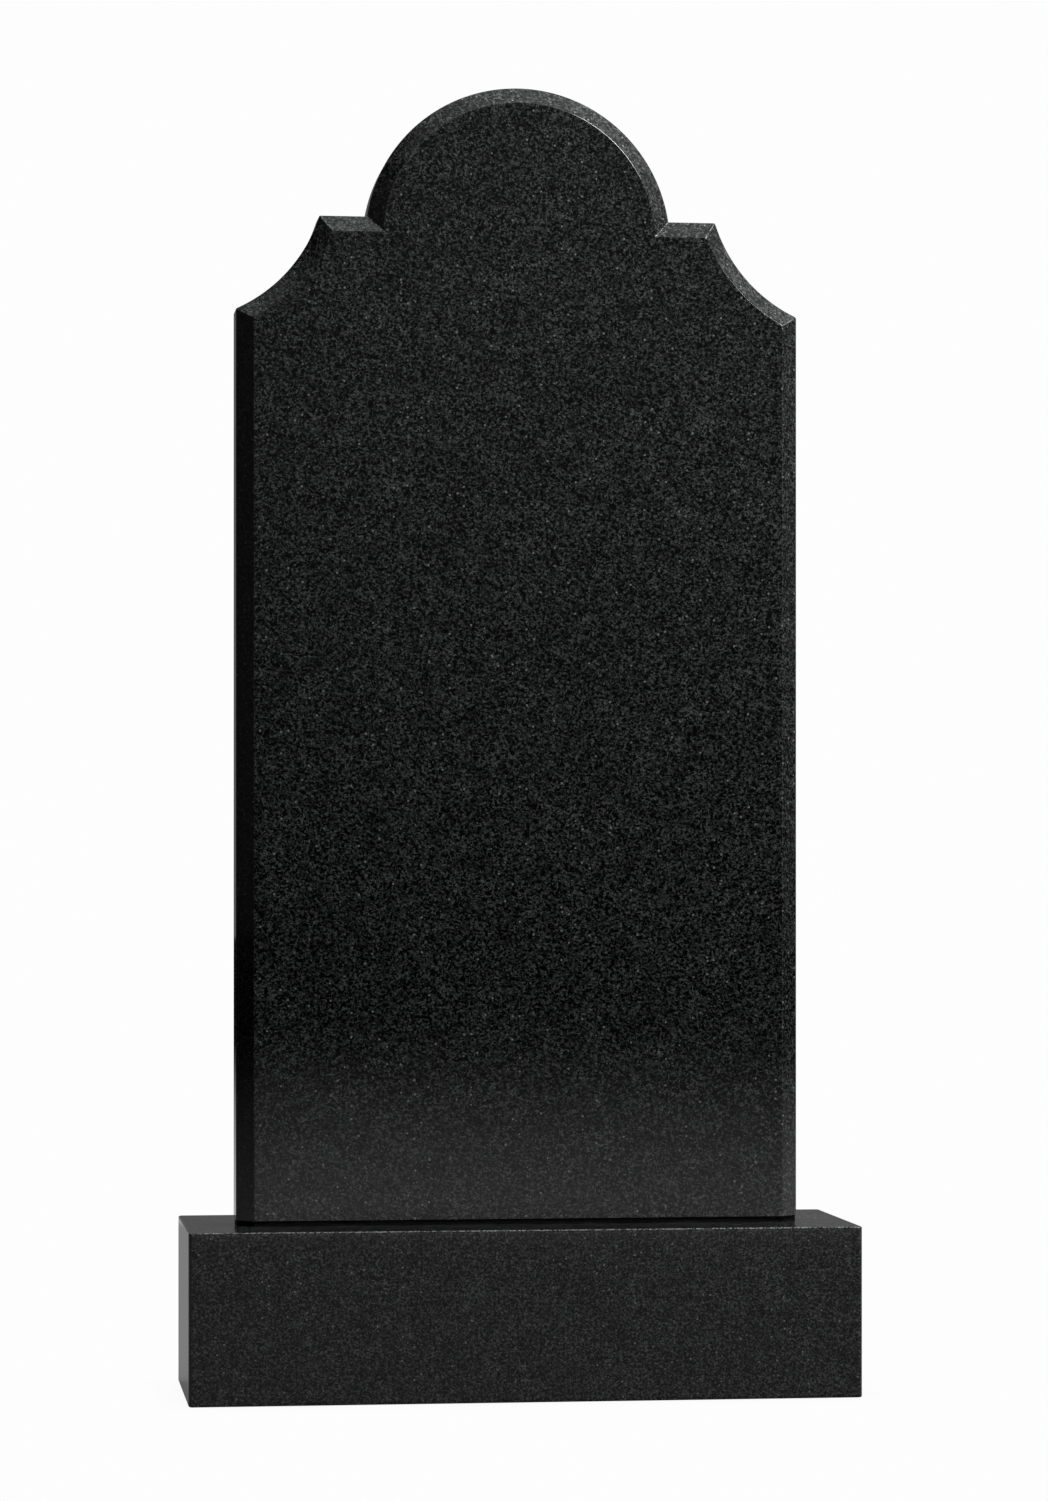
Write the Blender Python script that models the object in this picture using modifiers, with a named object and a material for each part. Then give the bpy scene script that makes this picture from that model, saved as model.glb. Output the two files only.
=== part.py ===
"""Black granite headstone: a shaped, chamfered stele bedded on a rectangular base block.

The frame: the origin is on the ground at the middle of the base block's underside,
+Z is up, and the polished face of the stele looks towards -Y. Sizes are in metres.
"""

import math

import bmesh
import bpy

# Base block, on which everything stands
BASE_WIDTH = 0.590
BASE_DEPTH = 0.200
BASE_HEIGHT = 0.150
BASE_ARRIS_RADIUS = 0.003

# Stele, the upright slab
STELE_WIDTH = 0.500
STELE_HEIGHT = 1.000
STELE_THICKNESS = 0.050
STELE_SETBACK = 0.060

# Outline of the stele's head: heights above its foot, half spans from its middle
ARCH_RADIUS = 0.136
STEP_HEIGHT = 0.884
STEP_HALF_SPAN = 0.1765
SHOULDER_HEIGHT = 0.801
HOLLOW_RADIUS = 0.136

# Chamfer round the front of the stele: width on the face and depth on the sides
CHAMFER = 0.015

# Setting bed, the thin black layer between the base block and the stele
BED_THICKNESS = 0.005
BED_INSET = 0.0005

# Gap that touching pieces keep
CONTACT_GAP = 0.0003

# How finely the round stretches are divided, and what counts as a sharp edge
ARCH_SEGMENTS = 88
HOLLOW_SEGMENTS = 20
ARRIS_SEGMENTS = 3
SHARP_ANGLE = math.radians(20.0)

# Polished black granite and the bed's black resin
GRANITE_COLOUR = (0.014, 0.015, 0.016, 1.0)
GRANITE_ROUGHNESS = 0.2
RESIN_COLOUR = (0.004, 0.004, 0.004, 1.0)
RESIN_ROUGHNESS = 0.6


def clear_scene():
    """Removes whatever objects the file opened with."""
    for item in list(bpy.data.objects):
        bpy.data.objects.remove(item, do_unlink=True)


def make_collection(name):
    """Returns a new collection in the scene."""
    collection = bpy.data.collections.new(name)
    bpy.context.scene.collection.children.link(collection)
    return collection


def make_material(name, colour, roughness):
    """Returns a Principled material of one colour and roughness, not metallic."""
    material = bpy.data.materials.new(name)
    material.use_nodes = True
    shader = material.node_tree.nodes["Principled BSDF"]
    shader.inputs["Base Color"].default_value = colour
    shader.inputs["Roughness"].default_value = roughness
    shader.inputs["Metallic"].default_value = 0.0
    return material


def arc(centre, radius, start, end, count):
    """Returns the points of an arc, both ends included, from one angle to another."""
    angles = [start + (end - start) * i / count for i in range(count + 1)]
    return [(centre[0] + radius * math.cos(a), centre[1] + radius * math.sin(a)) for a in angles]


def hollow_centre():
    """Returns the centre of the right hollow's arc, which lies outside the stone.

    It is off the middle of the chord from the shoulder to the step, on the chord's normal.
    """
    outer = (STELE_WIDTH / 2, SHOULDER_HEIGHT)
    inner = (STEP_HALF_SPAN, STEP_HEIGHT)
    run = (inner[0] - outer[0], inner[1] - outer[1])
    chord = math.hypot(*run)
    reach = math.sqrt(HOLLOW_RADIUS**2 - chord**2 / 4)
    return (
        (outer[0] + inner[0]) / 2 + run[1] / chord * reach,
        (outer[1] + inner[1]) / 2 - run[0] / chord * reach,
    )


def stele_outline(inset):
    """Returns the stele's outline as (x, z) points, anticlockwise from the right of its foot.

    Up the right side to the shoulder, in along the hollow to the step, level to the arch,
    over the arch, and down the left side as the right side's mirror image. The inset moves
    every stretch into the stone by that much, all but the foot, and the corners are found
    where the moved stretches meet, so that two insets make true mitres between them.
    """
    half = STELE_WIDTH / 2 - inset
    step = STEP_HEIGHT - inset
    hollow = HOLLOW_RADIUS + inset
    arch = ARCH_RADIUS - inset
    middle = hollow_centre()
    crown = (0.0, STELE_HEIGHT - ARCH_RADIUS)

    shoulder_angle = math.pi + math.acos((middle[0] - half) / hollow)
    step_angle = math.pi + math.asin((middle[1] - step) / hollow)
    rise = math.asin((step - crown[1]) / arch)

    right = [(half, 0.0)] + arc(middle, hollow, shoulder_angle, step_angle, HOLLOW_SEGMENTS)
    top = arc(crown, arch, rise, math.pi - rise, ARCH_SEGMENTS)
    left = [(-x, z) for x, z in reversed(right)]
    return right + top + left


def loft(name, sections):
    """Returns a solid through flat (x, z) sections of equal length, each at its own y."""
    solid = bmesh.new()
    rings = [[solid.verts.new((x, y, z)) for x, z in outline] for outline, y in sections]
    for near, far in zip(rings, rings[1:]):
        for i in range(len(near)):
            solid.faces.new((near[i - 1], near[i], far[i], far[i - 1]))
    solid.faces.new(rings[0])
    solid.faces.new(rings[-1])
    bmesh.ops.recalc_face_normals(solid, faces=solid.faces)
    mesh = bpy.data.meshes.new(name)
    solid.to_mesh(mesh)
    solid.free()
    mesh.shade_smooth()
    mesh.set_sharp_from_angle(angle=SHARP_ANGLE)
    return bpy.data.objects.new(name, mesh)


def chamfer_edges(item, width, chosen):
    """Chamfers, at 45 degrees, the edges whose two ends pass the test."""
    mesh = item.data
    weights = mesh.attributes.new("bevel_weight_edge", "FLOAT", "EDGE")
    for edge in mesh.edges:
        ends = [mesh.vertices[index].co for index in edge.vertices]
        weights.data[edge.index].value = 1.0 if chosen(*ends) else 0.0
    bevel = item.modifiers.new("Chamfer", "BEVEL")
    bevel.limit_method = "WEIGHT"
    bevel.width = width
    bevel.segments = 1
    bevel.use_clamp_overlap = False


def build_base(collection, material):
    """Builds the base block, with its arrises eased all round."""
    bpy.ops.mesh.primitive_cube_add(size=1.0, location=(0.0, 0.0, BASE_HEIGHT / 2))
    base = bpy.context.active_object
    base.name = "base_block"
    base.scale = (BASE_WIDTH, BASE_DEPTH, BASE_HEIGHT)
    bpy.ops.object.transform_apply(location=False, rotation=False, scale=True)
    base.data.materials.append(material)
    bevel = base.modifiers.new("Arrises", "BEVEL")
    bevel.width = BASE_ARRIS_RADIUS
    bevel.segments = ARRIS_SEGMENTS
    move_to(collection, base)


def build_bed(collection, material, front, bottom):
    """Builds the setting bed: the plan of the stele's foot, a little inset, between the gaps."""
    width = STELE_WIDTH - 2 * BED_INSET
    depth = STELE_THICKNESS - 2 * BED_INSET
    height = BED_THICKNESS - 2 * CONTACT_GAP
    place = (0.0, front + STELE_THICKNESS / 2, bottom + CONTACT_GAP + height / 2)
    bpy.ops.mesh.primitive_cube_add(size=1.0, location=place)
    bed = bpy.context.active_object
    bed.name = "setting_bed"
    bed.scale = (width, depth, height)
    bpy.ops.object.transform_apply(location=False, rotation=False, scale=True)
    bed.data.materials.append(material)
    chamfer_edges(bed, CHAMFER, lambda a, b: a.y < 0.0 and b.y < 0.0 and a.x == b.x)
    move_to(collection, bed)


def build_stele(collection, material, front, foot):
    """Builds the stele: the chamfer runs from the face's outline to the full outline behind it."""
    full = stele_outline(0.0)
    sections = [
        (stele_outline(CHAMFER), 0.0),
        (full, CHAMFER),
        (full, STELE_THICKNESS),
    ]
    stele = loft("stele", sections)
    stele.data.materials.append(material)
    stele.location = (0.0, front, foot)
    collection.objects.link(stele)


def move_to(collection, item):
    """Moves an object into the collection, out of the ones that it was made in."""
    for other in list(item.users_collection):
        other.objects.unlink(item)
    collection.objects.link(item)


def main():
    """Builds the headstone from the ground up."""
    clear_scene()
    headstone = make_collection("headstone")
    base_granite = make_material("base_granite", GRANITE_COLOUR, GRANITE_ROUGHNESS)
    stele_granite = make_material("stele_granite", GRANITE_COLOUR, GRANITE_ROUGHNESS)
    bed_resin = make_material("bed_resin", RESIN_COLOUR, RESIN_ROUGHNESS)

    stele_front = STELE_SETBACK - BASE_DEPTH / 2
    stele_foot = BASE_HEIGHT + BED_THICKNESS
    build_base(headstone, base_granite)
    build_bed(headstone, bed_resin, stele_front, BASE_HEIGHT)
    build_stele(headstone, stele_granite, stele_front, stele_foot)


main()
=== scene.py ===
"""Black granite headstone: two polished stones and the resin between them, in a pale studio.

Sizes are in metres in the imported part's frame: the origin is on the ground at the middle of the
base block's underside, +Z is up, and the polished face of the stele looks towards -Y.
"""

from __future__ import annotations

import logging
import math
from dataclasses import dataclass, field
from enum import Enum
from typing import ClassVar, Mapping, Sequence

import bpy
import numpy as np
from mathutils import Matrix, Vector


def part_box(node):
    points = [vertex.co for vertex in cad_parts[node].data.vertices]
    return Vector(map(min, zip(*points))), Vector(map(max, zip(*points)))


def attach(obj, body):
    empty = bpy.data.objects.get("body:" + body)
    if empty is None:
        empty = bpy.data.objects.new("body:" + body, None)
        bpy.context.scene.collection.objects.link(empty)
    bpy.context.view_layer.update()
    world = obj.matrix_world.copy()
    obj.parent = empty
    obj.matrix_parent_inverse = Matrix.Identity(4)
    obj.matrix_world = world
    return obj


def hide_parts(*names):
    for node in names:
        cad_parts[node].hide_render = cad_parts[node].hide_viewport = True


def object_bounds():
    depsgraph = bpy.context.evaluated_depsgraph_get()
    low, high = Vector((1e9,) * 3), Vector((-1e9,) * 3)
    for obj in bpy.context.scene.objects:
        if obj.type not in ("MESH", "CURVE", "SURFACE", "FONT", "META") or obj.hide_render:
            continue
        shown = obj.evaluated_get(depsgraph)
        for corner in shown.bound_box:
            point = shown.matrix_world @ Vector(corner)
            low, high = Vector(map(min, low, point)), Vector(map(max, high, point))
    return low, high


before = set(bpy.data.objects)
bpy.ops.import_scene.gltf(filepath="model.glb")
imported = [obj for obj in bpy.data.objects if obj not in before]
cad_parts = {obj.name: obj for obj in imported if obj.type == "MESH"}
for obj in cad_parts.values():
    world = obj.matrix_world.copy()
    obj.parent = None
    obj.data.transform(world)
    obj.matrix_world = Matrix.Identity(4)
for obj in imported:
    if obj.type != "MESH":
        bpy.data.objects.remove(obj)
CAD_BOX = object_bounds()

LOG = logging.getLogger("headstone")
BODY = "root"
ARRIS = "arris"
FACE_WEIGHT = 100

Colour = tuple[float, float, float]
Place = tuple[float, float, float]
Socket = bpy.types.NodeSocket


class Port(Enum):
    """The kinds of value that a shader node group takes in and gives out."""

    VECTOR = "NodeSocketVector"
    VALUE = "NodeSocketFloat"


class Ease(Enum):
    """How a range of values is carried over to another."""

    STRAIGHT = "LINEAR"
    SOFT = "SMOOTHSTEP"


def opaque(colour: Colour) -> tuple[float, float, float, float]:
    """Returns the colour with a full alpha, as Blender's colour sockets take it."""
    return (*colour, 1.0)


class Wiring:
    """Adds nodes to one node tree and joins them."""

    columns: ClassVar[int] = 12
    pitch: ClassVar[tuple[float, float]] = (180.0, 220.0)

    def __init__(self, tree: bpy.types.NodeTree) -> None:
        """Starts on a tree, which is emptied.

        Args:
            tree: The material's, world's or group's node tree.
        """
        self.tree = tree
        tree.nodes.clear()

    def add(
        self, kind: str, sockets: Mapping[str | int, object] | None = None, **settings: object
    ) -> bpy.types.Node:
        """Adds a node.

        Args:
            kind: The node's Blender type.
            sockets: A value, or a socket to join, for each input that isn't left as it is.
            settings: The node's own properties.

        Returns:
            The new node.
        """
        node = self.tree.nodes.new(kind)
        for name, value in settings.items():
            setattr(node, name, value)
        for key, value in (sockets or {}).items():
            if isinstance(value, Socket):
                self.tree.links.new(value, node.inputs[key])
            else:
                node.inputs[key].default_value = value
        row, column = divmod(len(self.tree.nodes), self.columns)
        node.location = (self.pitch[0] * column, -self.pitch[1] * row)
        return node

    def math(self, operation: str, *values: object, clamp: bool = False) -> Socket:
        """Returns the result of a Math node on the values, clamped to 0 and 1 if asked."""
        sockets = dict(enumerate(values))
        return self.add("ShaderNodeMath", sockets, operation=operation, use_clamp=clamp).outputs[0]

    def vector(self, operation: str, *values: object) -> bpy.types.Node:
        """Returns a Vector Math node on the values."""
        return self.add("ShaderNodeVectorMath", dict(enumerate(values)), operation=operation)

    def scaled(self, vector: Socket, factor: object) -> Socket:
        """Returns the vector times a factor."""
        node = self.add("ShaderNodeVectorMath", {0: vector, "Scale": factor}, operation="SCALE")
        return node.outputs[0]

    def split(self, vector: Socket) -> tuple[Socket, Socket, Socket]:
        """Returns the vector's X, Y and Z."""
        x, y, z = self.add("ShaderNodeSeparateXYZ", {0: vector}).outputs
        return x, y, z

    def channels(self, colour: Socket) -> tuple[Socket, Socket, Socket]:
        """Returns the colour's red, green and blue."""
        red, green, blue = self.add("ShaderNodeSeparateColor", {0: colour}).outputs
        return red, green, blue

    def span(
        self,
        value: Socket,
        source: tuple[float, float],
        target: tuple[float, float] = (0.0, 1.0),
        ease: Ease = Ease.STRAIGHT,
    ) -> Socket:
        """Carries a range of values over to another, clamped at both ends.

        Args:
            value: The value to carry over.
            source: The range that it comes from.
            target: The range that it goes to.
            ease: Whether the way between the ends is straight or soft.

        Returns:
            The new value.
        """
        sockets = {0: value, 1: source[0], 2: source[1], 3: target[0], 4: target[1]}
        return self.add("ShaderNodeMapRange", sockets, interpolation_type=ease.value).outputs[0]

    def blend(self, factor: object, first: object, second: object) -> Socket:
        """Returns the first colour where the factor is 0 and the second where it is 1."""
        node = self.add("ShaderNodeMix", {0: factor, 6: first, 7: second}, data_type="RGBA")
        return node.outputs[2]

    def noise(self, vector: Socket, scale: object, detail: float = 1.0) -> bpy.types.Node:
        """Returns a Noise Texture node."""
        sockets = {"Vector": vector, "Scale": scale, "Detail": detail}
        return self.add("ShaderNodeTexNoise", sockets)

    def cells(self, vector: Socket, scale: object) -> bpy.types.Node:
        """Returns a Voronoi Texture node."""
        return self.add("ShaderNodeTexVoronoi", {"Vector": vector, "Scale": scale})

    def group(self, effect: Effect, sockets: Mapping[str | int, object]) -> bpy.types.Node:
        """Places a shared effect in this tree with values of its own."""
        return self.add("ShaderNodeGroup", sockets, node_tree=effect.tree)


class Effect:
    """A shader node group that several materials share."""

    title: str = ""
    takes: Mapping[str, Port] = {}
    gives: Mapping[str, Port] = {}

    def __init__(self) -> None:
        """Makes the group with its sockets and wires its inside."""
        self.tree = bpy.data.node_groups.new(self.title, "ShaderNodeTree")
        wiring = Wiring(self.tree)
        for side, ports in (("INPUT", self.takes), ("OUTPUT", self.gives)):
            for name, port in ports.items():
                self.tree.interface.new_socket(name=name, in_out=side, socket_type=port.value)
        inlet = wiring.add("NodeGroupInput")
        results = self.wire(wiring, {name: inlet.outputs[name] for name in self.takes})
        wiring.add("NodeGroupOutput", results)

    def wire(self, wiring: Wiring, inlet: Mapping[str, Socket]) -> dict[str, Socket]:
        """Wires the effect.

        Args:
            wiring: The group's tree.
            inlet: The group's inputs by name.

        Returns:
            The group's outputs by name.
        """
        raise NotImplementedError


class GabbroMinerals(Effect):
    """The stone's crystals: pale laths in a black ground, clotted, with a few bright flecks."""

    title = "Gabbro minerals"
    takes = {"Vector": Port.VECTOR, "Lath Length": Port.VALUE, "Fleck Spacing": Port.VALUE}
    gives = {"Laths": Port.VALUE, "Flecks": Port.VALUE, "Ground": Port.VALUE}

    turns = ((0.3, 0.2, 0.5), (1.1, -0.6, 1.9))
    slimness = (1.0, 0.26, 0.32)
    middle = 0.5
    drift_scale = 1.3
    waver = 0.5
    scarcity = (0.72, 0.86)
    tone_range = (0.25, 1.0)
    tone_curve = 1.5
    fade = (0.25, 0.75)
    rim_tone = 0.35
    strand_scale = 1.0
    strand_width = 0.072
    strand_tone = (0.15, 1.0)
    patch_scale = 1.8
    patch_range = (0.43, 0.71)
    ground_scale = 3.2
    ground_range = (0.45, 0.85)
    clot_scale = 0.27
    clot_detail = 2.0
    clot_range = (0.35, 0.65)
    clotting = (0.78, 1.12)
    fleck_size = (0.11, 0.19)
    fleck_scarcity = (0.80, 0.82)

    def wire(self, wiring: Wiring, inlet: Mapping[str, Socket]) -> dict[str, Socket]:
        """Wires the crystals, the flecks and the black ground.

        The crystals are two families of long cells and the strands between them, all of them
        clotted, so that they are stronger in some patches than in others.

        Args:
            wiring: The group's tree.
            inlet: The place and the sizes of the crystals and flecks.

        Returns:
            The strength of the crystals and of the flecks, and where the ground is paler.
        """
        place = wiring.scaled(inlet["Vector"], wiring.math("DIVIDE", 1.0, inlet["Lath Length"]))
        swirl = wiring.noise(place, self.drift_scale).outputs["Color"]
        drift = wiring.vector("SUBTRACT", swirl, (self.middle,) * 3).outputs[0]
        bent = wiring.vector("ADD", place, wiring.scaled(drift, self.waver)).outputs[0]
        first, second = (self.family(wiring, bent, turn) for turn in self.turns)
        laths = wiring.math("MAXIMUM", first, second)
        laths = wiring.math("MAXIMUM", laths, self.strands(wiring, place, bent))
        patch = wiring.noise(place, self.clot_scale, self.clot_detail).outputs[0]
        clots = wiring.span(patch, self.clot_range, self.clotting)
        ground = wiring.noise(bent, self.ground_scale).outputs[0]
        return {
            "Laths": wiring.math("MULTIPLY", laths, clots, clamp=True),
            "Flecks": self.flecks(wiring, inlet["Vector"], inlet["Fleck Spacing"]),
            "Ground": wiring.span(ground, self.ground_range),
        }

    def family(self, wiring: Wiring, place: Socket, turn: tuple[float, float, float]) -> Socket:
        """Wires one family of long cells, of which a few are crystals.

        A crystal's tone comes from its cell's colour, raised to a power, and falls off from its
        core to its rim.

        Args:
            wiring: The group's tree.
            place: The place, in lath lengths.
            turn: How the family is turned, in radians.

        Returns:
            The strength of the crystals.
        """
        sockets = {"Vector": place, "Rotation": turn, "Scale": self.slimness}
        turned = wiring.add("ShaderNodeMapping", sockets, vector_type="TEXTURE").outputs[0]
        cell = wiring.cells(turned, 1.0).outputs
        chance, shade, _ = wiring.channels(cell["Color"])
        present = wiring.span(chance, self.scarcity)
        tone = wiring.math("POWER", wiring.span(shade, (0.0, 1.0), self.tone_range), self.tone_curve)
        core = wiring.span(cell["Distance"], self.fade, (1.0, self.rim_tone), Ease.SOFT)
        return wiring.math("MULTIPLY", wiring.math("MULTIPLY", present, tone), core)

    def strands(self, wiring: Wiring, place: Socket, bent: Socket) -> Socket:
        """Wires winding strands where a noise crosses its middle, paler in some patches.

        Args:
            wiring: The group's tree.
            place: The place, in lath lengths.
            bent: The same place, pushed aside by the drift.

        Returns:
            The strength of the strands.
        """
        level = wiring.noise(bent, self.strand_scale).outputs[0]
        off = wiring.math("ABSOLUTE", wiring.math("SUBTRACT", level, self.middle))
        strand = wiring.span(off, (0.0, self.strand_width), (1.0, 0.0), Ease.SOFT)
        patch = wiring.noise(place, self.patch_scale).outputs[0]
        return wiring.math("MULTIPLY", strand, wiring.span(patch, self.patch_range, self.strand_tone))

    def flecks(self, wiring: Wiring, place: Socket, spacing: Socket) -> Socket:
        """Wires round flecks in the middle of the few cells that are picked.

        Args:
            wiring: The group's tree.
            place: The place on the stone.
            spacing: How far apart the cells are.

        Returns:
            The strength of the flecks.
        """
        cell = wiring.cells(place, wiring.math("DIVIDE", 1.0, spacing)).outputs
        near = wiring.span(cell["Distance"], self.fleck_size, (1.0, 0.0), Ease.SOFT)
        chance, _, _ = wiring.channels(cell["Color"])
        return wiring.math("MULTIPLY", near, wiring.span(chance, self.fleck_scarcity))


class Polish(Effect):
    """How the last polishing disc left the face: clearest on the pale crystals, and a hair wavy."""

    title = "Polish"
    takes = {"Vector": Port.VECTOR, "Laths": Port.VALUE, "Dullest": Port.VALUE, "Clearest": Port.VALUE}
    gives = {"Roughness": Port.VALUE, "Height": Port.VALUE}

    wave_scale = 22.0
    film_scale = 3.0
    film_detail = 3.0
    film_range = (0.3, 0.7)
    film_share = (0.5, 1.0)
    lath_share = -0.6

    def wire(self, wiring: Wiring, inlet: Mapping[str, Socket]) -> dict[str, Socket]:
        """Wires the roughness and the height.

        The roughness goes from the clearest to the dullest by the share of a thin film, less
        where there are crystals. The height is a slow wave.

        Args:
            wiring: The group's tree.
            inlet: The place, the crystals, and the two ends of the roughness.

        Returns:
            The roughness and the height.
        """
        film = wiring.noise(inlet["Vector"], self.film_scale, self.film_detail).outputs[0]
        filmed = wiring.span(film, self.film_range, self.film_share)
        share = wiring.math("MULTIPLY_ADD", inlet["Laths"], self.lath_share, filmed)
        dulled = wiring.math("MAXIMUM", share, 0.0)
        width = wiring.math("SUBTRACT", inlet["Dullest"], inlet["Clearest"])
        return {
            "Roughness": wiring.math("MULTIPLY_ADD", width, dulled, inlet["Clearest"]),
            "Height": wiring.noise(inlet["Vector"], self.wave_scale).outputs[0],
        }


class WornArrisAndGlints(Effect):
    """Where an arris was eased by hand: pale, dull pinpricks of plucked crystals, partly a painted
    highlight.
    """

    title = "Worked arris"
    takes = {
        "Vector": Port.VECTOR,
        "Arris": Port.VALUE,
        "Pluck Size": Port.VALUE,
        "Wear": Port.VALUE,
    }
    gives = {"Plucks and glints": Port.VALUE}

    reach = (0.50, 0.95)
    softness = 0.2

    def wire(self, wiring: Wiring, inlet: Mapping[str, Socket]) -> dict[str, Socket]:
        """Wires a scatter of cells that only shows close to an arris.

        Args:
            wiring: The group's tree.
            inlet: The place, its nearness to an arris, the size of a plucked pit and how many there are.

        Returns:
            The strength of the pale spots: plucked pits, and partly a painted highlight.
        """
        near = wiring.span(inlet["Arris"], self.reach, ease=Ease.SOFT)
        scale = wiring.math("DIVIDE", 1.0, inlet["Pluck Size"])
        chance, _, _ = wiring.channels(wiring.cells(inlet["Vector"], scale).outputs["Color"])
        level = wiring.math("ADD", chance, wiring.math("SUBTRACT", inlet["Wear"], 1.0))
        picked = wiring.span(level, (0.0, self.softness))
        return {"Plucks and glints": wiring.math("MULTIPLY", near, picked)}


class SawMarks(Effect):
    """The arcs that a large blade leaves on a sawn side, one beside another as the block moves."""

    title = "Saw marks"
    takes = {"Vector": Port.VECTOR, "Blade Radius": Port.VALUE, "Pitch": Port.VALUE}
    gives = {"Marks": Port.VALUE}

    axle_height = -0.35
    detail = 3.0
    coarseness = 0.65
    mark_range = (0.3, 0.7)

    def wire(self, wiring: Wiring, inlet: Mapping[str, Socket]) -> dict[str, Socket]:
        """Wires a noise along x less the blade's reach, which is the same all along each arc.

        The reach at a height is the square root of the radius squared less the squared rise over
        the axle. A side that lies flat takes its y for its height.

        Args:
            wiring: The group's tree.
            inlet: The place, the blade's radius and the pitch of its marks.

        Returns:
            How high and pale each mark is.
        """
        x, y, z = wiring.split(inlet["Vector"])
        rise = wiring.math("SUBTRACT", wiring.math("ADD", y, z), self.axle_height)
        left = wiring.math(
            "SUBTRACT",
            wiring.math("POWER", inlet["Blade Radius"], 2.0),
            wiring.math("POWER", rise, 2.0),
        )
        along = wiring.math("SUBTRACT", x, wiring.math("SQRT", wiring.math("MAXIMUM", left, 0.0)))
        step = wiring.math("DIVIDE", along, inlet["Pitch"])
        sockets = {"W": step, "Scale": 1.0, "Detail": self.detail, "Roughness": self.coarseness}
        marks = wiring.add("ShaderNodeTexNoise", sockets, noise_dimensions="1D").outputs[0]
        return {"Marks": wiring.span(marks, self.mark_range)}


@dataclass(frozen=True)
class Effects:
    """The shared effects, each built once."""

    minerals: Effect = field(default_factory=GabbroMinerals)
    polish: Effect = field(default_factory=Polish)
    arris: Effect = field(default_factory=WornArrisAndGlints)
    saw: Effect = field(default_factory=SawMarks)


def new_material(name: str) -> tuple[bpy.types.Material, Wiring]:
    """Makes an empty node material.

    Args:
        name: The material's name.

    Returns:
        The material, and the wiring for its tree.
    """
    material = bpy.data.materials.new(name)
    material.use_nodes = True
    return material, Wiring(material.node_tree)


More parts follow.
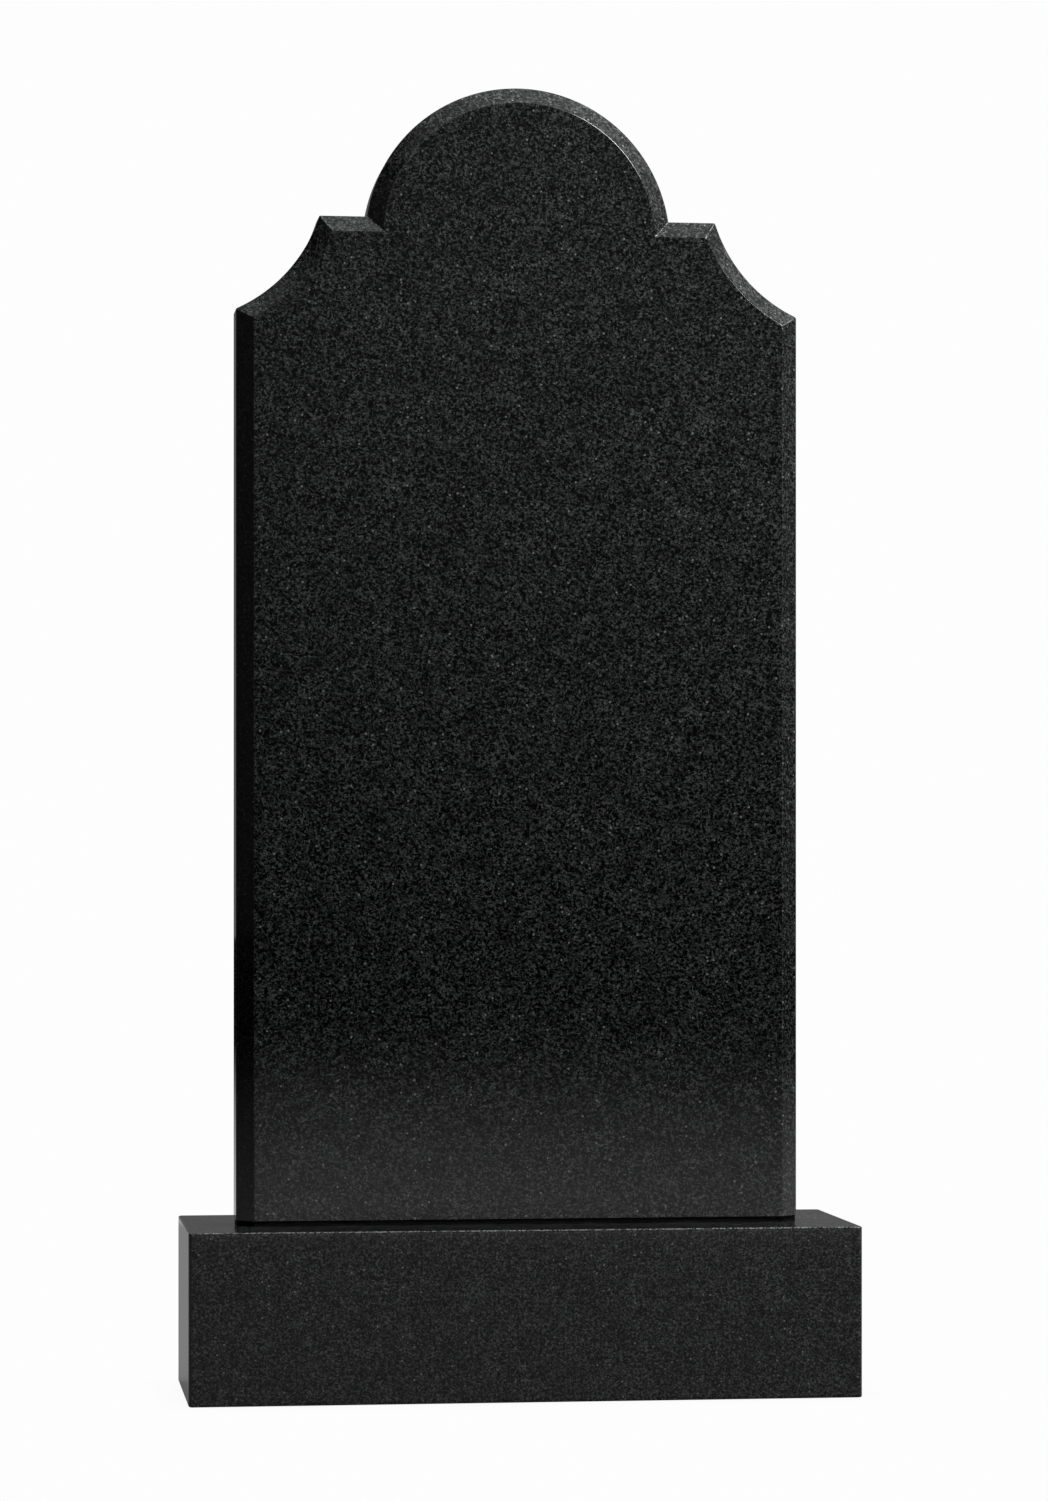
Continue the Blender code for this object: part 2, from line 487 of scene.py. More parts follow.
@dataclass(frozen=True)
class Granite:
    """Black gabbro, polished where it shows and finely sawn on its back and underside."""

    name: str
    slot: str
    lath_length: float = 0.0046
    fleck_spacing: float = 0.0062
    ground: Colour = (0.0012, 0.0013, 0.0014)
    ground_lift: Colour = (0.0032, 0.0034, 0.0036)
    lath: Colour = (0.141, 0.146, 0.150)
    fleck: Colour = (0.29, 0.295, 0.30)
    # Pale pinpricks along the arrises: chipped crystals, and partly a painted highlight along the mitres
    # and arrises.
    pluck_and_glint: Colour = (0.30, 0.305, 0.31)
    clearest: float = 0.035
    dullest: float = 0.085
    refraction: float = 1.52
    relief: float = 0.00006
    sawn: Colour = (0.120, 0.123, 0.126)
    sawn_share: float = 0.70
    sawn_tone: tuple[float, float] = (0.55, 1.0)
    sawn_roughness: float = 0.46
    saw_relief: float = 0.00012
    hidden_turn: tuple[float, float] = (0.70, 0.85)
    blade_radius: float = 1.75
    blade_pitch: float = 0.0045
    # Size, dullness and share of the pale pinpricks, which are partly wear and partly a painted
    # highlight.
    pluck_size: float = 0.0011
    pluck_roughness: float = 0.25
    wear: float = 0.62

    def build(self, effects: Effects) -> bpy.types.Material:
        """Makes the material.

        The back and the underside are found by the object's own normal, and take the sawn look.

        Args:
            effects: The shared effects.

        Returns:
            The material.
        """
        material, wiring = new_material(self.name)
        spot = wiring.add("ShaderNodeTexCoord")
        place = spot.outputs["Object"]
        _, towards_back, upwards = wiring.split(spot.outputs["Normal"])
        back = wiring.span(towards_back, self.hidden_turn, ease=Ease.SOFT)
        below = (-self.hidden_turn[0], -self.hidden_turn[1])
        under = wiring.span(upwards, below, ease=Ease.SOFT)
        hidden = wiring.math("MAXIMUM", back, under)

        stone = wiring.group(
            effects.minerals,
            {"Vector": place, "Lath Length": self.lath_length, "Fleck Spacing": self.fleck_spacing},
        )
        polish = wiring.group(
            effects.polish,
            {
                "Vector": place,
                "Laths": stone.outputs["Laths"],
                "Dullest": self.dullest,
                "Clearest": self.clearest,
            },
        )
        eased = wiring.add("ShaderNodeAttribute", attribute_name=ARRIS).outputs["Fac"]
        plucks_and_glints = wiring.group(
            effects.arris,
            {"Vector": place, "Arris": eased, "Pluck Size": self.pluck_size, "Wear": self.wear},
        ).outputs["Plucks and glints"]
        marks = wiring.group(
            effects.saw,
            {"Vector": place, "Blade Radius": self.blade_radius, "Pitch": self.blade_pitch},
        ).outputs["Marks"]

        paler = stone.outputs["Ground"]
        ground = wiring.blend(paler, opaque(self.ground), opaque(self.ground_lift))
        crystals = wiring.blend(stone.outputs["Laths"], ground, opaque(self.lath))
        polished = wiring.blend(stone.outputs["Flecks"], crystals, opaque(self.fleck))
        # Blends in the pale pinpricks: plucked crystals, and painted highlight lines along the mitres.
        worked = wiring.blend(plucks_and_glints, polished, opaque(self.pluck_and_glint))
        powder = wiring.math("MULTIPLY", hidden, wiring.span(marks, (0.0, 1.0), self.sawn_tone))
        dusted = wiring.math("MULTIPLY", powder, self.sawn_share)
        colour = wiring.blend(dusted, worked, opaque(self.sawn))

        clear = polish.outputs["Roughness"]
        plucked = wiring.math("MULTIPLY_ADD", plucks_and_glints, self.pluck_roughness, clear)
        share = wiring.math("SUBTRACT", 1.0, hidden)
        roughness = wiring.math(
            "MULTIPLY_ADD", hidden, self.sawn_roughness, wiring.math("MULTIPLY", plucked, share)
        )
        bare = wiring.math("MULTIPLY", polish.outputs["Height"], share)
        cut = self.saw_relief / self.relief
        scored = wiring.math("MULTIPLY", wiring.math("MULTIPLY", marks, cut), hidden)
        bump = wiring.add(
            "ShaderNodeBump",
            {"Strength": 1.0, "Distance": self.relief, "Height": wiring.math("ADD", bare, scored)},
        )
        shader = wiring.add(
            "ShaderNodeBsdfPrincipled",
            {
                "Base Color": colour,
                "Roughness": roughness,
                "Normal": bump.outputs[0],
                "IOR": self.refraction,
                "Metallic": 0.0,
            },
        )
        wiring.add("ShaderNodeOutputMaterial", {"Surface": shader.outputs[0]})
        return material


@dataclass(frozen=True)
class Resin:
    """Black setting resin, squeezed out level and tooled while it was soft."""

    name: str
    slot: str
    colour: Colour = (0.0016, 0.0016, 0.0017)
    skin: Colour = (0.0032, 0.0032, 0.0034)
    roughness: tuple[float, float] = (0.5, 0.68)
    refraction: float = 1.4
    gloss: float = 0.09
    mottle_scale: float = 180.0
    mottle_detail: float = 3.0
    mottle_range: tuple[float, float] = (0.3, 0.7)
    pore_scale: float = 900.0
    pore_detail: float = 2.0
    pore_strength: float = 0.6
    relief: float = 0.0001

    def build(self) -> bpy.types.Material:
        """Makes the material: a slow mottle in its colour and roughness, and fine pores.

        Returns:
            The material.
        """
        material, wiring = new_material(self.name)
        place = wiring.add("ShaderNodeTexCoord").outputs["Object"]
        mottle = wiring.noise(place, self.mottle_scale, self.mottle_detail).outputs[0]
        pores = wiring.noise(place, self.pore_scale, self.pore_detail).outputs[0]
        bump = wiring.add(
            "ShaderNodeBump",
            {"Strength": self.pore_strength, "Distance": self.relief, "Height": pores},
        )
        shader = wiring.add(
            "ShaderNodeBsdfPrincipled",
            {
                "Base Color": wiring.blend(mottle, opaque(self.colour), opaque(self.skin)),
                "Roughness": wiring.span(mottle, self.mottle_range, self.roughness),
                "Normal": bump.outputs[0],
                "IOR": self.refraction,
                "Specular IOR Level": self.gloss,
            },
        )
        wiring.add("ShaderNodeOutputMaterial", {"Surface": shader.outputs[0]})
        return material


def arc(
    centre: Sequence[float], radius: float, start: float, end: float, count: int
) -> np.ndarray:
    """Returns the points of an arc, both ends included.

    A point is the centre plus the radius times the cosine and sine of its angle.

    Args:
        centre: The arc's centre in its plane.
        radius: Its radius.
        start: The angle that it starts at, in radians.
        end: The angle that it ends at.
        count: How many stretches it is divided in.

    Returns:
        An array of count + 1 points by 2.
    """
    angles = np.linspace(start, end, count + 1)
    return np.stack([centre[0] + radius * np.cos(angles), centre[1] + radius * np.sin(angles)], axis=1)


def eased(
    corner: Sequence[float],
    before: Sequence[float],
    after: Sequence[float],
    reach: float | np.ndarray,
    count: int,
) -> np.ndarray:
    """Rounds a corner with an arc that touches both of its sides.

    The arc turns by the angle between the two directions, and its radius is the reach over the
    tangent of half that angle. After a turn of t, a point is the arc's start, plus the radius
    times the sine of t along the first direction, plus the radius times 1 less the cosine of t
    at right angles to it.

    Args:
        corner: The corner's place in its plane.
        before: The direction that leads to it.
        after: The direction that leads away from it.
        reach: How far from the corner the arc starts, for one arc or for many.
        count: How many stretches the arc is divided in.

    Returns:
        An array of count + 1 points, by the arcs if there are many, by 2.
    """
    ahead = np.array(before) / np.linalg.norm(before)
    then = np.array(after) / np.linalg.norm(after)
    whole = math.acos(float(ahead @ then))
    aside = (then - ahead * math.cos(whole)) / math.sin(whole)
    run = np.asarray(reach, dtype=float)[..., None]
    turn = np.linspace(0.0, whole, count + 1).reshape(-1, *([1] * run.ndim))
    radius = run / math.tan(whole / 2)
    return np.array(corner) - ahead * run + radius * (np.sin(turn) * ahead + (1.0 - np.cos(turn)) * aside)


def add_object(name: str, data: bpy.types.ID) -> bpy.types.Object:
    """Makes an object and links it to the scene.

    Args:
        name: The object's name.
        data: Its mesh, light or camera.

    Returns:
        The new object.
    """
    item = bpy.data.objects.new(name, data)
    bpy.context.scene.collection.objects.link(item)
    return item


@dataclass
class RingedSolid:
    """A closed surface through rings of equal length, with a flat face over each end.

    The rings are a grid of points, one row for each ring, and each ring closes on itself. The
    nearness is how close each point is to an arris.
    """

    rings: np.ndarray
    nearness: np.ndarray

    def build(self, name: str) -> bpy.types.Object:
        """Makes the mesh and its object.

        The four corners of a face are a point, the next one round its ring, and the same two on
        the next ring. The nearness to an arris goes into a point attribute.

        Args:
            name: The piece's name.

        Returns:
            The new object, in the scene.
        """
        rows, columns = self.rings.shape[:2]
        index = np.arange(rows * columns).reshape(rows, columns)
        following = np.roll(index, -1, axis=1)
        sides = np.stack([index[:-1], following[:-1], following[1:], index[1:]], axis=-1).reshape(-1, 4)
        faces = sides.tolist() + [index[0][::-1].tolist(), index[-1].tolist()]
        mesh = bpy.data.meshes.new(name)
        mesh.from_pydata(self.rings.reshape(-1, 3), [], faces)
        attribute = mesh.attributes.new(ARRIS, "FLOAT", "POINT")
        attribute.data.foreach_set("value", self.nearness.ravel().astype(np.float32))
        mesh.update()
        mesh.shade_smooth()
        return add_object(name, mesh)


def flatten_faces(piece: bpy.types.Object) -> None:
    """Lets the largest faces set the shading, so that only the roundings between them turn.

    Args:
        piece: The piece, which is given a modifier.
    """
    even = piece.modifiers.new("Flat faces", "WEIGHTED_NORMAL")
    even.weight = FACE_WEIGHT
    even.keep_sharp = True


def dress(piece: bpy.types.Object, node: str, material: bpy.types.Material) -> None:
    """Gives a piece its material and its body, and hides the CAD node that it stands for.

    Args:
        piece: The piece.
        node: The CAD node.
        material: The finish.
    """
    piece.data.materials.append(material)
    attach(piece, BODY)
    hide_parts(node)
    LOG.info("%s stands for %s in %s", piece.name, node, material.name)


@dataclass
class Stele:
    """The upright slab: arched head, level steps, hollow shoulders, and a chamfer round its face."""

    side_points: ClassVar[int] = 3
    level_points: ClassVar[int] = 2

    finish: Granite
    node: str = "stele"
    arch_radius: float = 0.136
    step_height: float = 0.884
    step_half_span: float = 0.1765
    shoulder_height: float = 0.801
    hollow_radius: float = 0.136
    chamfer: float = 0.015
    arris_reach: float = 0.0009
    arris_segments: int = 4
    # How strongly the pale pinpricks, partly wear and partly a painted highlight, show along the arrises.
    arris_wear: float = 0.70
    hollow_easing: float = 0.2
    hollow_run_in: float = 30.0
    margin: float = 0.003
    sharp_angle: float = math.radians(40.0)
    arch_segments: int = 240
    hollow_segments: int = 72
    lowest: np.ndarray = field(init=False)
    width: float = field(init=False)
    thickness: float = field(init=False)
    height: float = field(init=False)

    def __post_init__(self) -> None:
        """Takes the overall sizes from the CAD node."""
        lowest, highest = (np.array(corner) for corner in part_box(self.node))
        self.lowest = lowest
        self.width, self.thickness, self.height = highest - lowest

    def hollow_centre(self) -> np.ndarray:
        """Works out the centre of the right hollow's arc, which lies outside the stone.

        It is off the middle of the chord from the shoulder to the step, on the chord's normal.

        Returns:
            The centre's x, and its height above the foot.
        """
        outer = np.array([self.width / 2, self.shoulder_height])
        inner = np.array([self.step_half_span, self.step_height])
        run = inner - outer
        chord = np.hypot(*run)
        reach = math.sqrt(self.hollow_radius**2 - chord**2 / 4)
        return (outer + inner) / 2 + np.array([run[1], -run[0]]) / chord * reach

    def outline(self, inset: float) -> np.ndarray:
        """Works out the outline, moved into the stone by the inset everywhere but at the foot.

        It runs up the right side to the shoulder, in along the hollow to the step, level to the
        arch, over it, and down the left side as the right side's mirror image. The corners are
        where the moved stretches meet, so that two insets make true mitres between them, and
        each is eased. Each straight stretch has one more point a margin away from either end.

        Args:
            inset: How far the outline is moved.

        Returns:
            An array of points by 2: x, and the height above the foot.
        """
        half = self.width / 2 - inset
        step = self.step_height - inset
        hollow = self.hollow_radius + inset
        arch = self.arch_radius - inset
        middle = self.hollow_centre()
        crown = (0.0, self.height - self.arch_radius)
        shoulder_angle = math.pi + math.acos((middle[0] - half) / hollow)
        step_angle = math.pi + math.asin((middle[1] - step) / hollow)
        rise = math.asin((step - crown[1]) / arch)
        shoulder = arc(middle, hollow, shoulder_angle, step_angle, self.hollow_segments)
        top = arc(crown, arch, rise, math.pi - rise, self.arch_segments)
        side = [(half, 0.0), (half, self.margin), (half, shoulder[0, 1] - self.margin)]
        level = [(shoulder[-1, 0] - self.margin, step), (top[0, 0] + self.margin, step)]
        right = [
            side,
            self.eased_corner(side[-1], *shoulder[:2]),
            shoulder[1:-1],
            self.eased_corner(*shoulder[-2:], level[0]),
            level,
            self.eased_corner(level[-1], *top[:2]),
        ]
        run = np.vstack(right)
        return np.vstack([run, top[1:-1], run[::-1] * (-1.0, 1.0)])

    def eased_corner(self, before: np.ndarray, corner: np.ndarray, after: np.ndarray) -> np.ndarray:
        """Returns the eased corner between a point before it and a point after it."""
        ahead, then = np.subtract(corner, before), np.subtract(after, corner)
        return eased(corner, ahead, then, self.arris_reach, self.arris_segments)

    def wear(self) -> tuple[np.ndarray, np.ndarray]:
        """Works out how the arrises are worked round the outline, and so where the pale pinpricks, partly
        a painted highlight, fall.

        The nearness to a corner is the sine of the way through its rounding, from 0 to half a
        turn. In a hollow, where the polishing disc hardly reaches the arris, the easing falls
        from 1 to its least in a short run from each end.

        Returns:
            For each point of the outline, its nearness to a corner, and the share of the easing.
        """
        corner = np.sin(np.linspace(0.0, math.pi, self.arris_segments + 1))
        share = np.linspace(0.0, 1.0, self.hollow_segments + 1)[1:-1]
        within = np.minimum(self.hollow_run_in * np.minimum(share, 1.0 - share), 1.0)
        hollow = 1.0 - (1.0 - self.hollow_easing) * within
        rounding = (corner, np.ones_like(corner))
        right = [
            (np.zeros(self.side_points), np.ones(self.side_points)),
            rounding,
            (np.zeros_like(hollow), hollow),
            rounding,
            (np.zeros(self.level_points), np.ones(self.level_points)),
            rounding,
        ]
        near, ease = (np.concatenate(column) for column in zip(*right))
        top = np.zeros(self.arch_segments - 1)
        nearness = np.concatenate([near, top, near[::-1]])
        easing = np.concatenate([ease, np.ones_like(top), ease[::-1]])
        return nearness, easing

    def section(self, easing: np.ndarray) -> tuple[np.ndarray, np.ndarray, np.ndarray]:
        """Works out the section from face to back, at each point of the outline.

        It goes out along the face, down the chamfer, back along the side and in along the back,
        and the three arrises between them are eased.

        Args:
            easing: The share of the arris's reach at each point of the outline.

        Returns:
            An array of rows by points by 2, which are inset and depth behind the face. For each
            row, its nearness to an arris, and whether it is on the chamfer.
        """
        cut, back, margin = self.chamfer, self.thickness, self.margin
        face, slant, side, rear = (-1.0, 0.0), (-1.0, 1.0), (0.0, 1.0), (1.0, 0.0)
        reach = self.arris_reach * easing
        near = np.sin(np.linspace(0.0, math.pi, self.arris_segments + 1))
        stretches = [
            ([(cut + margin, 0.0)], False),
            (eased((cut, 0.0), face, slant, reach, self.arris_segments), True),
            ([(cut - margin, margin), (margin, cut - margin)], True),
            (eased((0.0, cut), slant, side, reach, self.arris_segments), True),
            ([(0.0, cut + margin), (0.0, back - margin)], False),
            (eased((0.0, back), side, rear, reach, self.arris_segments), False),
            ([(margin, back)], False),
        ]
        rows, arris, chamfered = [], [], []
        for points, on_chamfer in stretches:
            grid = np.array(points)
            rounded = grid.ndim == 3
            rows.append(grid if rounded else np.repeat(grid[:, None], len(easing), axis=1))
            arris.append(near if rounded else np.zeros(len(grid)))
            chamfered.append(np.full(len(grid), on_chamfer))
        return np.concatenate(rows), np.concatenate(arris), np.concatenate(chamfered)

    def build(self, effects: Effects) -> bpy.types.Object:
        """Carries the section round the outline.

        A point is on the line from the outline of the sides to the outline of the face, at the
        share of the chamfer that its inset is, and at its depth. The outline goes anticlockwise
        seen from the front, and is turned about, so that the faces look outwards.

        Args:
            effects: The shared effects.

        Returns:
            The stele.
        """
        corner, easing = self.wear()
        section, arris, chamfered = self.section(easing)
        outer, inner = self.outline(0.0), self.outline(self.chamfer)
        plan = outer + (inner - outer) * section[..., :1] / self.chamfer
        place = (0.0, self.lowest[1], self.lowest[2])
        rings = np.stack([plan[..., 0], section[..., 1], plan[..., 1]], axis=-1) + place
        # The chamfer's mitres get full nearness, so that the pale pinpricks draw painted highlight lines
        # along them.
        nearness = np.maximum(self.arris_wear * arris[:, None] * easing, chamfered[:, None] * corner)
        piece = RingedSolid(rings[:, ::-1], nearness[:, ::-1]).build("stele_polished")
        piece.data.set_sharp_from_angle(angle=self.sharp_angle)
        flatten_faces(piece)
        dress(piece, self.node, self.finish.build(effects))
        return piece


@dataclass
class BaseBlock:
    """The rectangular block under the stele, with its arrises rounded all round."""

    finish: Granite
    node: str = "base_block"
    arris_radius: float = 0.0016
    corner_radius: float = 0.004
    margin: float = 0.0015
    arris_segments: int = 8
    corner_segments: int = 8
    lowest: np.ndarray = field(init=False)
    highest: np.ndarray = field(init=False)

    def __post_init__(self) -> None:
        """Takes the overall sizes from the CAD node."""
        self.lowest, self.highest = (np.array(corner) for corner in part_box(self.node))

    def plan(self, inset: float) -> np.ndarray:
        """Works out the block's rounded rectangle in plan, anticlockwise seen from above.

        Each corner is a quarter circle whose radius shrinks by the inset, as its sides move in.

        Args:
            inset: How far the sides are moved into the stone.

        Returns:
            An array of points by 2.
        """
        half_width, half_depth = (self.highest[:2] - self.lowest[:2]) / 2 - self.corner_radius
        middle = (self.highest[:2] + self.lowest[:2]) / 2
        radius = max(self.corner_radius - inset, 0.0)
        spare = max(inset - self.corner_radius, 0.0)
        signs = ((1, 1), (-1, 1), (-1, -1), (1, -1))
        corners = []
        for quarter, (across, along) in enumerate(signs):
            centre = middle + (across * (half_width - spare), along * (half_depth - spare))
            start = quarter * math.pi / 2
            corners.append(arc(centre, radius, start, start + math.pi / 2, self.corner_segments))
        return np.vstack(corners)

    def section(self) -> np.ndarray:
        """Works out the section from the underside up.

        At an angle t of the rounding, the inset is the radius times 1 less the cosine of t, and
        the height is the radius times the sine of t beyond the rounding's start.

        Returns:
            An array of rows by 3: inset, height and nearness to an arris.
        """
        turn = np.linspace(0.0, math.pi / 2, self.arris_segments + 1)
        radius, low, high = self.arris_radius, self.lowest[2], self.highest[2]
        inset = radius * (1.0 - np.cos(turn))
        climb = radius * np.sin(turn)
        top = np.stack([inset, high - radius + climb, np.sin(2 * turn)], axis=1)
        bottom = np.stack([inset, low + radius - climb, np.sin(2 * turn)], axis=1)[::-1]
        edge = radius + self.margin
        lid = np.array([[edge, high, 0.0]])
        floor = np.array([[edge, low, 0.0]])
        sides = np.array([[0.0, low + edge, 0.0], [0.0, high - edge, 0.0]])
        return np.vstack([floor, bottom, sides, top, lid])

    def build(self, effects: Effects) -> bpy.types.Object:
        """Carries the section round the plan.

        Args:
            effects: The shared effects.

        Returns:
            The base block.
        """
        section = self.section()
        rings = []
        for inset, height, _ in section:
            plan = self.plan(inset)
            rings.append(np.column_stack([plan, np.full(len(plan), height)]))
        # The nearness puts the pale pinpricks, partly wear and partly a painted highlight, along the
        # rounded arrises.
        nearness = np.repeat(section[:, 2], len(rings[0]))
        piece = RingedSolid(np.array(rings), nearness).build("base_polished")
        flatten_faces(piece)
        dress(piece, self.node, self.finish.build(effects))
        return piece


@dataclass
class SettingBed:
    """The black resin between the stones, tooled a little hollow, on the plan of the stele's foot."""

    finish: Resin
    stele: Stele
    node: str = "setting_bed"
    under: str = "base_block"
    inset: float = 0.0008
    hollow: float = 0.0003
    waver: float = 0.00012
    waver_rates: tuple[float, float] = (61.0, 47.0)
    ripple_share: float = 0.6
    ripple_rate: float = 2.7
    ripple_phase: float = 1.3
    sharp_angle: float = math.radians(30.0)
    rows: int = 10
    spacing: float = 0.003

    def plan(self) -> tuple[np.ndarray, np.ndarray]:
        """Works out the plan of the stele's foot as evenly spread points.

        Returns:
            The points by 2, anticlockwise seen from above, and the direction into the bed at each.
        """
        half = self.stele.width / 2
        front = self.stele.lowest[1]
        back = front + self.stele.thickness
        cut = self.stele.chamfer
        corners = np.array(
            [
                (-half + cut, front),
                (half - cut, front),
                (half, front + cut),
                (half, back),
                (-half, back),
                (-half, front + cut),
            ]
        )
        runs = np.roll(corners, -1, axis=0) - corners
        lengths = np.hypot(*runs.T)
        counts = np.maximum(np.round(lengths / self.spacing).astype(int), 2)
        points = [
            corner + run * np.linspace(0.0, 1.0, count, endpoint=False)[:, None]
            for corner, run, count in zip(corners, runs, counts)
        ]
        ways = [
            np.tile(np.array([-run[1], run[0]]) / length, (count, 1))
            for run, length, count in zip(runs, lengths, counts)
        ]
        return np.vstack(points), np.vstack(ways)

    def build(self) -> bpy.types.Object:
        """Carries the hollow section round the plan.

        At a share s of the height, a point is moved into the bed by the inset plus the hollow
        times 4 s (1 - s), which is widest half way up, and by a slow waver along the bed. The
        waver is the sine of a phase that grows with x and y, plus a smaller, quicker ripple.

        Returns:
            The setting bed.
        """
        points, ways = self.plan()
        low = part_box(self.under)[1][2]
        high = self.stele.lowest[2]
        share = np.linspace(0.0, 1.0, self.rows + 1)
        phase = points @ np.array(self.waver_rates)
        slow = np.sin(phase) + self.ripple_share * np.sin(self.ripple_rate * phase + self.ripple_phase)
        bow = 4.0 * share * (1.0 - share)
        depth = self.inset + bow[:, None] * (self.hollow + self.waver * slow[None, :])
        plan = points[None] + ways[None] * depth[..., None]
        heights = np.broadcast_to((low + (high - low) * share)[:, None, None], (*depth.shape, 1))
        rings = np.concatenate([plan, heights], axis=2)
        piece = RingedSolid(rings, np.zeros(rings.shape[:2])).build("setting_bed_resin")
        piece.data.set_sharp_from_angle(angle=self.sharp_angle)
        dress(piece, self.node, self.finish.build())
        return piece


@dataclass(frozen=True)
class SoftLight:
    """A square softbox that lights the stone but isn't seen in it."""

    name: str
    place: Place
    power: float
    side: float
    tint: Colour = (1.0, 0.995, 0.985)

    def build(self, aim: Sequence[float]) -> bpy.types.Object:
        """Hangs the light.

        Args:
            aim: The point that it looks at.

        Returns:
            The light's object.
        """
        lamp = bpy.data.lights.new(self.name, "AREA")
        lamp.energy = self.power
        lamp.size = self.side
        lamp.color = self.tint
        light = add_object(self.name, lamp)
        light.location = self.place
        way = np.array(self.place) - np.array(aim)
        flat = math.hypot(way[0], way[1])
        light.rotation_euler = (math.atan2(flat, way[2]), 0.0, math.atan2(way[0], -way[1]))
        light.visible_camera = False
        light.visible_glossy = False
        return light


@dataclass(frozen=True)
class Studio:
    """A pale room: white behind and below, one broad light overhead to the right, and soft fills."""

    white: float = 0.985
    softbox_axis: Place = (0.36, 0.10, 0.90)
    softbox_edge: float = 0.30
    softbox_fall: float = 1.4
    softbox_glow: float = 0.58
    lamp_axis: Place = (0.56, -0.53, 0.63)
    lamp_core: tuple[float, float] = (0.965, 0.99)
    lamp_glow: float = 24.0
    back_glow: float = 0.105
    back_span: tuple[float, float] = (0.3, 0.95)
    front_glow: float = 0.6
    front_span: tuple[float, float] = (-1.0, 0.0)
    ambient: float = 0.012
    bounce: float = 0.06
    left_glow: float = 0.035
    left_span: tuple[float, float] = (-0.6, -0.95)
    floor_radius: float = 30.0
    floor_segments: int = 96
    floor_near: tuple[float, float] = (0.203, 0.26)
    near_span: tuple[float, float] = (-0.4, 0.4)
    floor_pool: float = 0.54
    pool_start: tuple[float, float] = (1.84, 2.02)
    pool_end: float = 8.5
    pool_fall: float = 1.6
    pool_left: float = 0.38
    pool_side: tuple[float, float] = (-0.9, 0.0)
    pool_centre: float = 0.01
    floor_bounce: float = 0.03
    contact_reach: float = 0.05
    contact_depth: float = 0.06
    contact_shade: float = 0.5
    contact_span: tuple[float, float] = (0.4, 1.0)
    contact_samples: int = 8
    lights: tuple[SoftLight, ...] = (
        SoftLight("overhead", place=(0.75, 0.15, 3.05), power=82.0, side=1.4),
        SoftLight("key", place=(1.46, -1.45, 2.04), power=36.0, side=0.8),
        SoftLight("back_fill", place=(-2.1, 2.3, 2.2), power=60.0, side=1.4),
    )

    def facing(self, wiring: Wiring, way: Socket, axis: Place) -> Socket:
        """Returns the dot product of a direction and an axis, which is 1 along the axis."""
        unit = np.array(axis) / np.linalg.norm(axis)
        return wiring.vector("DOT_PRODUCT", way, tuple(unit)).outputs["Value"]

    def seen_by(self, wiring: Wiring, camera: object, mirror: Socket, diffuse: object) -> Socket:
        """Picks what each kind of ray sees.

        Args:
            wiring: The world's or the floor's tree.
            camera: What the camera sees.
            mirror: What the polish mirrors.
            diffuse: What lights the rough surfaces.

        Returns:
            The colour.
        """
        ray = wiring.add("ShaderNodeLightPath").outputs
        indirect = wiring.blend(ray["Is Diffuse Ray"], mirror, diffuse)
        return wiring.blend(ray["Is Camera Ray"], indirect, camera)

    def build_world(self) -> bpy.types.World:
        """Makes the surroundings: white to the camera, soft lights in the polish, dim otherwise.

        The overhead softbox fades with the angle from its axis, as the dot product of the two
        directions above its edge, raised to a power. The lamp is a small round patch. A faint
        glow stands at the back, a fainter one at the left, and one in front grows with height.

        Returns:
            The world, set as the scene's.
        """
        world = bpy.data.worlds.new("studio")
        world.use_nodes = True
        world.cycles.sampling_method = "NONE"
        wiring = Wiring(world.node_tree)
        way = wiring.add("ShaderNodeTexCoord").outputs["Generated"]
        x, y, z = wiring.split(way)

        overhead = self.facing(wiring, way, self.softbox_axis)
        share = wiring.span(overhead, (self.softbox_edge, 1.0))
        softbox = wiring.math(
            "MULTIPLY", wiring.math("POWER", share, self.softbox_fall), self.softbox_glow
        )
        patch = self.facing(wiring, way, self.lamp_axis)
        lamp = wiring.span(patch, self.lamp_core, (0.0, self.lamp_glow), Ease.SOFT)
        back = wiring.span(y, self.back_span, (0.0, self.back_glow), Ease.SOFT)
        rise = wiring.math("MULTIPLY", wiring.math("MAXIMUM", z, 0.0), self.front_glow)
        front = wiring.math("MULTIPLY", rise, wiring.span(y, self.front_span, (1.0, 0.0)))
        left = wiring.span(x, self.left_span, (0.0, self.left_glow), Ease.SOFT)
        sides = wiring.math("ADD", back, left)
        soft = wiring.math("ADD", softbox, wiring.math("ADD", sides, front))
        room = wiring.math("ADD", soft, self.ambient)

        mirrored = wiring.math("ADD", room, lamp)
        dimmed = wiring.math("MULTIPLY", room, self.bounce)
        colour = self.seen_by(wiring, opaque((self.white,) * 3), mirrored, dimmed)
        background = wiring.add("ShaderNodeBackground", {"Color": colour})
        wiring.add("ShaderNodeOutputWorld", {"Surface": background.outputs[0]})
        bpy.context.scene.world = world
        return world

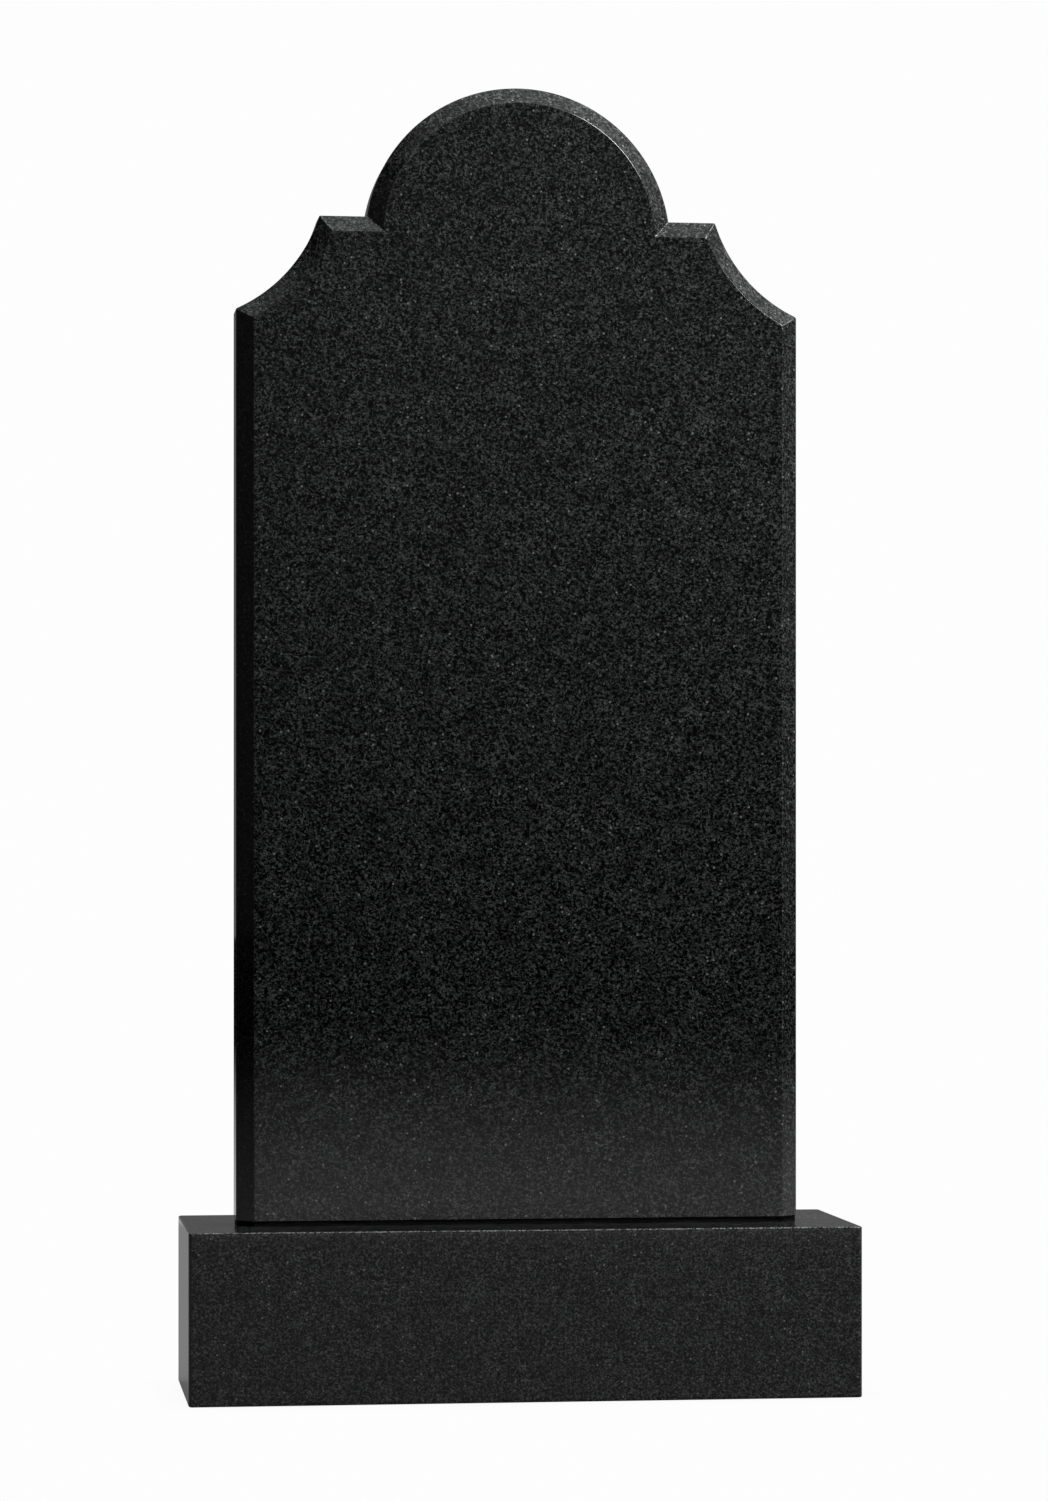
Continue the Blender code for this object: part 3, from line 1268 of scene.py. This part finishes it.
    def build_floor(self) -> bpy.types.Object:
        """Lays the pale floor, which glows: white to the camera, with a painted pool of light that the
        polish mirrors.

        The pool rises beyond the stone and fades as the share of the way to its end, taken from
        1, raised to a power. It is dimmer on the left. Inside it, the floor is a little brighter
        behind the stone than in front, and darker right beside it, which is painted shade. The white
        that the camera sees is also darker beside the stone, as a painted contact shadow.

        Returns:
            The floor.
        """
        material, wiring = new_material("pale_floor")
        material.cycles.emission_sampling = "NONE"
        place = wiring.add("ShaderNodeTexCoord").outputs["Object"]
        x, y, _ = wiring.split(place)
        distance = wiring.vector("LENGTH", place).outputs["Value"]
        near = wiring.span(y, self.near_span, self.floor_near, Ease.SOFT)
        left = wiring.span(distance, (self.pool_start[1], self.pool_end), (1.0, 0.0))
        fading = wiring.math("POWER", left, self.pool_fall)
        across = wiring.math("DIVIDE", x, wiring.math("MAXIMUM", distance, self.pool_centre))
        side = wiring.span(across, self.pool_side, (self.pool_left, 1.0), Ease.SOFT)
        pool = wiring.math("MULTIPLY", wiring.math("MULTIPLY", fading, side), self.floor_pool)
        beyond = wiring.span(distance, self.pool_start, ease=Ease.SOFT)
        sockets = {"Distance": self.contact_reach}
        shelter = wiring.add(
            "ShaderNodeAmbientOcclusion", sockets, samples=self.contact_samples
        ).outputs["AO"]
        # Painted contact shadow: the white that the camera sees darkens where the stone is close.
        painted_contact_shadow = wiring.span(shelter, (0.0, 1.0), (1.0 - self.contact_depth, 1.0))
        shown = wiring.math("MULTIPLY", painted_contact_shadow, self.white)
        # Painted contact shade in the floor that the polish mirrors, darker right beside the stone.
        shade = wiring.span(shelter, self.contact_span, (1.0 - self.contact_shade, 1.0))
        mirrored = wiring.blend(beyond, wiring.math("MULTIPLY", near, shade), pool)

        colour = self.seen_by(wiring, shown, mirrored, opaque((self.floor_bounce,) * 3))
        glow = wiring.add("ShaderNodeEmission", {"Color": colour})
        wiring.add("ShaderNodeOutputMaterial", {"Surface": glow.outputs[0]})

        rim = arc((0.0, 0.0), self.floor_radius, 0.0, 2.0 * math.pi, self.floor_segments)[:-1]
        mesh = bpy.data.meshes.new("floor")
        level = np.zeros(len(rim))
        mesh.from_pydata(np.column_stack([rim, level]), [], [list(range(len(rim)))])
        mesh.materials.append(material)
        floor = add_object("floor", mesh)
        return floor

    def build(self) -> None:
        """Makes the surroundings, the floor and the lights, and sets plain colour handling."""
        self.build_world()
        self.build_floor()
        middle = (np.array(CAD_BOX[0]) + np.array(CAD_BOX[1])) / 2
        for light in self.lights:
            light.build(middle)
        view = bpy.context.scene.view_settings
        view.view_transform = "Standard"
        view.look = "None"
        view.exposure = 0.0
        view.gamma = 1.0


@dataclass(frozen=True)
class Camera:
    """The photograph's camera: level, a little left of the stone and turned towards it."""

    place: Place = (-0.4675, -3.7815, 0.4533)
    turn: float = math.radians(-7.17)
    focal_pixels: float = 4274.0
    frame_height: float = 1501.0
    horizon_row: float = 880.6
    film: float = 36.0

    def build(self) -> bpy.types.Object:
        """Places the camera and makes it the scene's.

        The lens has the ratio to the film that the focal length in pixels has to the frame's
        long side. The shift brings the horizon to its row while the camera stays level.

        Returns:
            The camera.
        """
        lens = bpy.data.cameras.new("camera")
        lens.sensor_width = self.film
        lens.lens = self.focal_pixels / self.frame_height * self.film
        lens.shift_y = self.horizon_row / self.frame_height - 0.5
        camera = add_object("camera", lens)
        camera.location = self.place
        camera.rotation_euler = (math.pi / 2, 0.0, self.turn)
        bpy.context.scene.camera = camera
        return camera


def main() -> None:
    """Builds the camera, the studio and the headstone from the ground up."""
    logging.basicConfig(level=logging.INFO, format="%(name)s: %(message)s")
    Camera().build()
    Studio().build()
    effects = Effects()
    fine = Granite(
        "base_granite_polished",
        "base_granite",
        lath_length=0.0040,
        lath=(0.172, 0.177, 0.181),
        fleck_spacing=0.0055,
        wear=0.55,
    )
    coarse = Granite("stele_granite_polished", "stele_granite")
    base = BaseBlock(fine)
    stele = Stele(coarse)
    bed = SettingBed(Resin("bed_resin_tooled", "bed_resin"), stele)
    pieces = [base.build(effects), bed.build(), stele.build(effects)]
    for piece in pieces:
        LOG.info("%s has %d points before its modifiers", piece.name, len(piece.data.vertices))


if __name__ == "__main__":
    main()
